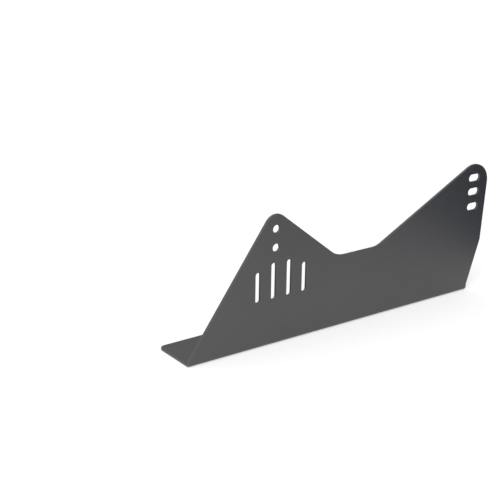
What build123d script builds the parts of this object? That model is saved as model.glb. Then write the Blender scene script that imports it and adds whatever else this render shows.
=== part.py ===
from build123d import *
import os

# Side mount for a shell seat: one steel sheet, cut to shape and folded once.
# The upright plate bolts to the side of the seat, and the flange at its foot
# bolts down to a seat rail or to the floor.

# Sheet and fold
sheet_thickness = 3.0
fold_inside_radius = 1.0
edge_break = 0.3

# Front ear, with two round seat holes one above the other.
# Lengths along the base start where the sloping front edge would meet the ground.
front_column_along = 115.7
seat_hole_diameter = 9.0
seat_hole_pitch = 21.0
front_ear_lead = 3.3
front_ear_cover = 23.0
front_ear_radius = 15.0

# Four upright slots below the round holes, all ending at one height
upright_slot_count = 4
upright_slot_width = 6.0
upright_slot_pitch = 20.6
upright_slot_foot = 52.9
inner_slot_length = 41.4
outer_slot_length = 34.3
slot_row_lag = 7.65
slot_to_hole_web = 12.1

# Valley between the two ears
valley_height = 84.3
valley_lag = 85.2
valley_length = 57.4
valley_front_radius = 30.0
valley_rear_radius = 24.0

# Rear ear, with three level slots at the seat's bolt spacing behind the round holes
seat_bolt_spacing = 290.0
level_slot_length = 17.0
level_slot_width = 9.0
level_slot_low_height = 105.5
level_slot_lower_pitch = 18.35
level_slot_upper_pitch = 17.0
rear_ear_lag = 24.3
rear_ear_cover = 32.25
rear_ear_radius = 22.5
rear_knee_lag = 16.9
rear_knee_drop = 44.0
rear_knee_radius = 5.0
rear_foot_lead = 3.25

# Square heels at the two ends of the fold, which stand a little above it
heel_rise = 3.0
heel_radius = 3.0

# Flange, with a wide tab in front and a narrow strip behind it
tab_end_along = 233.2
tab_width = 59.0
tab_corner_radius = 6.0
strip_width = 29.0
strip_corner_radius = 5.0
notch_radius = 2.0

# Two small fixing holes through the tab
fixing_hole_diameter = 6.0
fixing_hole_pitch = 38.0
fixing_hole_along = 48.0
fixing_hole_inset = 18.7

# Heights of the holes and slots above the base, and their places along it
inner_slot_top = upright_slot_foot + inner_slot_length
lower_hole_height = inner_slot_top + slot_to_hole_web + seat_hole_diameter / 2
upper_hole_height = lower_hole_height + seat_hole_pitch
slot_row_middle = front_column_along + slot_row_lag
rear_column_along = front_column_along + seat_bolt_spacing
level_slot_middle_height = level_slot_low_height + level_slot_lower_pitch
level_slot_high_height = level_slot_middle_height + level_slot_upper_pitch

# Corners of the plate's outline before they are rounded
front_foot = Vector(0, 0)
front_ear = Vector(front_column_along - front_ear_lead, upper_hole_height + front_ear_cover)
valley_front = Vector(front_column_along + valley_lag, valley_height)
valley_rear = Vector(valley_front.X + valley_length, valley_height)
rear_ear = Vector(rear_column_along + rear_ear_lag, level_slot_high_height + rear_ear_cover)
rear_knee = Vector(rear_column_along + rear_knee_lag, level_slot_low_height - rear_knee_drop)
rear_foot = Vector(rear_column_along - rear_foot_lead, 0)

fold_outside_radius = fold_inside_radius + sheet_thickness


def heel(foot, top):
    """Where a sloping end turns square, a little above the fold."""
    slope = top - foot
    return foot + slope * ((fold_outside_radius + heel_rise) / slope.Y)


front_heel = heel(front_foot, front_ear)
rear_heel = heel(rear_foot, rear_knee)


def folded_strip():
    """The sheet's L section, as tall as the ears, as wide as the tab and as long as the plate."""
    height = max(front_ear.Y, rear_ear.Y)
    corners = [
        (0, height),
        (0, 0),
        (tab_width, 0),
        (tab_width, sheet_thickness),
        (sheet_thickness, sheet_thickness),
        (sheet_thickness, height),
    ]
    radii = [0, fold_outside_radius, 0, 0, fold_inside_radius, 0]
    section = make_face(Plane.YZ * FilletPolyline(*corners, radius=radii, close=True))
    return extrude(section, amount=rear_ear.X)


def side_outline():
    """All that is left of the sheet, seen square to the plate's outer face."""
    corners = [
        (front_heel.X, 0),
        front_heel,
        front_ear,
        valley_front,
        valley_rear,
        rear_ear,
        rear_knee,
        rear_heel,
        (rear_heel.X, 0),
    ]
    radii = [
        0,
        heel_radius,
        front_ear_radius,
        valley_front_radius,
        valley_rear_radius,
        rear_ear_radius,
        rear_knee_radius,
        heel_radius,
        0,
    ]
    outline = make_face(Plane.XZ * FilletPolyline(*corners, radius=radii, close=True))
    return extrude(outline, amount=tab_width, both=True)


def plan_outline():
    """All that is left of the sheet, seen from above: the flange, and the whole plate's band."""
    corners = [
        (front_heel.X, 0),
        (rear_heel.X, 0),
        (rear_heel.X, strip_width),
        (tab_end_along, strip_width),
        (tab_end_along, tab_width),
        (front_heel.X, tab_width),
    ]
    radii = [0, 0, strip_corner_radius, notch_radius, tab_corner_radius, tab_corner_radius]
    flange = make_face(FilletPolyline(*corners, radius=radii, close=True))
    low_corner = (Align.MIN, Align.MIN)
    plate_band = Rectangle(rear_ear.X, fold_outside_radius, align=low_corner)
    return extrude(flange + plate_band, amount=max(front_ear.Y, rear_ear.Y), both=True)


def plate_openings():
    """The round seat holes, the upright slots and the level slots, through the plate."""
    seat_hole = Circle(seat_hole_diameter / 2)
    openings = [
        Pos(front_column_along, height) * seat_hole
        for height in (lower_hole_height, upper_hole_height)
    ]
    last = upright_slot_count - 1
    for place in range(upright_slot_count):
        length = outer_slot_length if place in (0, last) else inner_slot_length
        along = slot_row_middle + (place - last / 2) * upright_slot_pitch
        slot = SlotOverall(length, upright_slot_width, rotation=90)
        openings.append(Pos(along, upright_slot_foot + length / 2) * slot)
    level_slot = SlotOverall(level_slot_length, level_slot_width)
    for height in (level_slot_low_height, level_slot_middle_height, level_slot_high_height):
        openings.append(Pos(rear_column_along, height) * level_slot)
    return extrude(Plane.XZ * Sketch(children=openings), amount=2 * sheet_thickness, both=True)


def flange_openings():
    """The two small fixing holes, through the flange."""
    hole = Circle(fixing_hole_diameter / 2)
    places = (fixing_hole_along, fixing_hole_along + fixing_hole_pitch)
    openings = [Pos(along, fixing_hole_inset) * hole for along in places]
    return extrude(Sketch(children=openings), amount=2 * sheet_thickness, both=True)


def sharp_edges(sheet):
    """The edges at which two faces meet at an angle: all but those of the fold and the rounds."""
    smooth_turn = 30
    neighbours = {}
    for face in sheet.faces():
        for edge in face.edges():
            neighbours.setdefault(edge, []).append(face)
    sharp = ShapeList()
    for edge, faces in neighbours.items():
        normals = [face.normal_at(edge @ 0.5) for face in faces]
        if normals[0].get_angle(normals[-1]) > smooth_turn:
            sharp.append(edge)
    return sharp


def side_mount():
    """The folded sheet with its edges broken, standing with its origin below its middle."""
    sheet = folded_strip() & side_outline() & plan_outline()
    sheet = sheet - plate_openings() - flange_openings()
    mount = chamfer(sharp_edges(sheet), edge_break)
    box = mount.bounding_box()
    return Pos(-box.center().X, -box.center().Y, -box.min.Z) * mount


os.makedirs("parts", exist_ok=True)
export_step(side_mount(), "parts/side_mount.step")
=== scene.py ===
import math

import bpy
import numpy as np
from mathutils import Matrix, Vector

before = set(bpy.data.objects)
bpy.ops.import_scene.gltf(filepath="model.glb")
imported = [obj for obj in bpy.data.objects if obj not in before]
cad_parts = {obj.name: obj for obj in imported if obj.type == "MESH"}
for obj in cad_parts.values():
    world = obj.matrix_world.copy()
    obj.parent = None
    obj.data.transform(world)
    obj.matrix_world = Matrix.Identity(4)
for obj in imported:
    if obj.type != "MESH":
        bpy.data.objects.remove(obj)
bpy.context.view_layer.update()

scene = bpy.context.scene

# The camera
# A standing photographer's view of the outer face and the front end, from far back with
# a long lens, so that the plate's straight edges hardly draw together.

camera_place = Vector((-0.856389, -1.028299, 0.559430))
camera_turn = math.radians(-35.842)
camera_dip = math.radians(19.819)
camera_roll = math.radians(0.754)
sensor_width = 36.0
lens_length = 90.594

camera = bpy.data.objects.new("camera", bpy.data.cameras.new("camera"))
camera.data.sensor_width = sensor_width
camera.data.lens = lens_length
turned = Matrix.Rotation(camera_turn, 4, "Z")
tipped = Matrix.Rotation(math.pi / 2 - camera_dip, 4, "X")
rolled = Matrix.Rotation(camera_roll, 4, "Z")
camera.matrix_world = Matrix.Translation(camera_place) @ turned @ tipped @ rolled
scene.collection.objects.link(camera)
scene.camera = camera

# The side mount
# One steel sheet, laser cut and folded once: the upright plate and the flange at its foot.
# A satin black powder coat covers it. The powder is sprayed on dry and baked until it flows
# together, which leaves a fine orange peel and rounds the cut edges.


class Signal:
    """A socket among the nodes of a material or of the world. Arithmetic adds Math nodes there."""

    def __init__(self, tree, socket=None):
        self.tree = tree
        self.socket = socket

    def node(self, kind, settings=None, values=None, output=0):
        """A new node of that kind: its settings first, then its sockets' values or links."""
        made = self.tree.nodes.new(kind)
        for name, value in (settings or {}).items():
            setattr(made, name, value)
        for name, value in (values or {}).items():
            if isinstance(value, Signal):
                self.tree.links.new(value.socket, made.inputs[name])
            else:
                made.inputs[name].default_value = value
        return Signal(self.tree, made.outputs[output] if made.outputs else None)

    def math(self, operation, first, second):
        """One Math node on two numbers or signals."""
        return self.node("ShaderNodeMath", {"operation": operation}, {0: first, 1: second})

    def __add__(self, other):
        return self.math("ADD", self, other)

    def __radd__(self, other):
        return self.math("ADD", other, self)

    def __sub__(self, other):
        return self.math("SUBTRACT", self, other)

    def __rsub__(self, other):
        return self.math("SUBTRACT", other, self)

    def __mul__(self, other):
        return self.math("MULTIPLY", self, other)

    def __rmul__(self, other):
        return self.math("MULTIPLY", other, self)


def empty_nodes(owner):
    """The signal that starts the nodes of a material or of the world, with none in it yet."""
    owner.use_nodes = True
    owner.node_tree.nodes.clear()
    return Signal(owner.node_tree)


def noise(place, scale, detail):
    """Smooth noise from 0 to 1: its scale is lumps to a metre, and its detail is finer layers."""
    return place.node("ShaderNodeTexNoise", values={"Vector": place, "Scale": scale, "Detail": detail})


def mixed_colour(factor, first_colour, second_colour):
    """The first colour where the factor is 0, turning evenly into the second where it is 1. The
    Mix node's sockets are numbered here, because those for numbers and colours share names."""
    sockets = {0: factor, 6: first_colour, 7: second_colour}
    return factor.node("ShaderNodeMix", {"data_type": "RGBA"}, sockets, output=2)


def powder_coat():
    """Satin black powder coat. Cloudy noise varies the film's roughness, and its shade together
    with a fine grain. Orange peel and grain, added in proportion, give the height of its bump."""
    black = (0.020, 0.020, 0.0205, 1)
    grey = (0.026, 0.026, 0.0265, 1)
    gloss_index = 1.88
    roughness_middle = 0.51
    roughness_swing = 0.10
    noise_middle = 0.5
    cloud_scale = 22
    cloud_detail = 3
    peel_scale = 700
    peel_detail = 2
    grain_scale = 2600
    grain_detail = 1
    grain_in_shade = 0.4
    grain_in_height = 0.3
    peel_height = 0.00016
    material = bpy.data.materials.new("satin_black_powder_coat")
    start = empty_nodes(material)
    place = start.node("ShaderNodeTexCoord", output="Object")
    cloud = noise(place, cloud_scale, cloud_detail)
    peel = noise(place, peel_scale, peel_detail)
    grain = noise(place, grain_scale, grain_detail)
    tone = cloud * (1 - grain_in_shade) + grain * grain_in_shade
    height = peel * (1 - grain_in_height) + grain * grain_in_height
    shade = mixed_colour(tone, black, grey)
    roughness = (cloud - noise_middle) * roughness_swing + roughness_middle
    bump = start.node("ShaderNodeBump", values={"Height": height, "Distance": peel_height})
    coat = start.node(
        "ShaderNodeBsdfPrincipled",
        values={"Base Color": shade, "Roughness": roughness, "IOR": gloss_index, "Normal": bump},
    )
    start.node("ShaderNodeOutputMaterial", values={"Surface": coat})
    return material


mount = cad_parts["side_mount"]
coat = powder_coat()
for slot in mount.material_slots:
    slot.material = coat

# The floor
# A wide sheet of white studio paper under the mount, which takes a soft shadow of it. Farther
# out the paper is lifted a little more, so that it stays white all the way back.

floor_half = 15.0
floor_drop = 0.0001


def floor_mesh():
    """A flat square: x and y run evenly from one end to the other, and z stays just below zero."""
    along = np.linspace(-floor_half, floor_half, 2)
    x, y = np.meshgrid(along, along, indexing="ij")
    points = np.stack([x.ravel(), y.ravel(), np.full(x.size, -floor_drop)], axis=1)
    mesh = bpy.data.meshes.new("floor")
    mesh.from_pydata(points.tolist(), [], [(0, 2, 3, 1)])
    return mesh


def looked_at(start):
    """1 where the camera, a reflection or a refraction looks, and 0 for light that scatters."""
    rays = ("Is Camera Ray", "Is Glossy Ray", "Is Transmission Ray")
    camera_ray, glossy_ray, through_ray = (start.node("ShaderNodeLightPath", output=ray) for ray in rays)
    return start.math("MINIMUM", camera_ray + glossy_ray + through_ray, 1)


def white_paper():
    """White paper, lifted to plain white where it is looked at. The lift grows in proportion to
    the distance from the mount, up to a limit."""
    paper_white = (0.8, 0.8, 0.8, 1)
    near_lift = 0.33
    growth = 0.09
    far_lift = 0.53
    material = bpy.data.materials.new("white_paper")
    start = empty_nodes(material)
    place = start.node("ShaderNodeTexCoord", output="Object")
    distance = start.node("ShaderNodeVectorMath", {"operation": "LENGTH"}, {0: place}, output="Value")
    lift = start.math("MINIMUM", distance * growth + near_lift, far_lift)
    paper = start.node("ShaderNodeBsdfDiffuse", values={"Color": paper_white})
    glow = start.node("ShaderNodeEmission", values={"Strength": looked_at(start) * lift})
    both = start.node("ShaderNodeAddShader", values={0: paper, 1: glow})
    start.node("ShaderNodeOutputMaterial", values={"Surface": both})
    return material


floor = bpy.data.objects.new("floor", floor_mesh())
floor.data.materials.append(white_paper())
scene.collection.objects.link(floor)

# The studio light
# White walls all round, one large softbox high in front on the left, and three dark panels that
# only reflections see, which paint dark reflections on the coat: a tall bluish one at the right, just
# outside the picture, one on the floor behind the mount's front end, and a narrow one that hangs
# farther back, clear of the floor.

wall_white = (1, 1, 1, 1)
wall_light = 0.62
softbox_place = (-0.9, -1.1, 2.2)
softbox_aim = (0, 0, 0.05)
softbox_size = 1.6
softbox_power = 28

world = bpy.data.worlds.new("studio")
scene.world = world
start = empty_nodes(world)
brightness = looked_at(start) * (1 - wall_light) + wall_light
walls = start.node("ShaderNodeBackground", values={"Color": wall_white, "Strength": brightness})
start.node("ShaderNodeOutputWorld", values={"Surface": walls})

softbox_lamp = bpy.data.lights.new("softbox", "AREA")
softbox_lamp.size = softbox_size
softbox_lamp.energy = softbox_power
softbox = bpy.data.objects.new("softbox", softbox_lamp)
softbox.location = softbox_place
softbox_beam = Vector(softbox_aim) - Vector(softbox_place)
softbox.rotation_euler = softbox_beam.to_track_quat("-Z", "Y").to_euler()
softbox.visible_camera = False
scene.collection.objects.link(softbox)

side_dark_reflection_corner = (0.293, -1.4, 0)
side_dark_reflection_depth = 1.4
side_dark_reflection_height = 0.9
floor_shade_reflection_corner = (-0.45, 0.03, 0)
floor_shade_reflection_width = 0.40
floor_shade_reflection_depth = 0.20
back_dark_reflection_corner = (-0.2, 0.28, 0.07)
back_dark_reflection_width = 0.45
back_dark_reflection_height = 0.13
blue_black = (0.002, 0.020, 0.10, 1)
soft_black = (0.012, 0.011, 0.010, 1)


def dark_reflection_panel(name, colour, corner, first_side, second_side):
    """A flat panel that glows in its dark colour and that only reflections see, so it paints a dark
    reflection: its corner, and the corner moved by one side, by both and by the other.
    """
    steps = np.array([(0, 0), (1, 0), (1, 1), (0, 1)])
    points = np.array(corner) + steps @ np.array([first_side, second_side])
    mesh = bpy.data.meshes.new(name)
    mesh.from_pydata(points.tolist(), [], [(0, 1, 2, 3)])
    material = bpy.data.materials.new(name)
    start = empty_nodes(material)
    glow = start.node("ShaderNodeEmission", values={"Color": colour})
    start.node("ShaderNodeOutputMaterial", values={"Surface": glow})
    mesh.materials.append(material)
    reflection_panel = bpy.data.objects.new(name, mesh)
    # Hidden from the camera, from scattered light and from shadows: only reflections see this panel.
    reflection_panel.visible_camera = False
    reflection_panel.visible_diffuse = False
    reflection_panel.visible_shadow = False
    scene.collection.objects.link(reflection_panel)


# Paints a dark, bluish reflection on the rear of the plate.
dark_reflection_panel(
    "side_dark_reflection",
    blue_black,
    side_dark_reflection_corner,
    (0, side_dark_reflection_depth, 0),
    (0, 0, side_dark_reflection_height),
)
# Paints the reflection of shaded floor behind the plate, which darkens the slot walls and the flange.
dark_reflection_panel(
    "floor_shade_reflection",
    soft_black,
    floor_shade_reflection_corner,
    (floor_shade_reflection_width, 0, 0),
    (0, floor_shade_reflection_depth, 0),
)
# Paints a dark reflection from behind the plate on the flange's top and on the slot walls.
dark_reflection_panel(
    "back_dark_reflection",
    soft_black,
    back_dark_reflection_corner,
    (back_dark_reflection_width, 0, 0),
    (0, 0, back_dark_reflection_height),
)

# The picture's colours
# Colours are shown as they are written.

scene.view_settings.view_transform = "Standard"
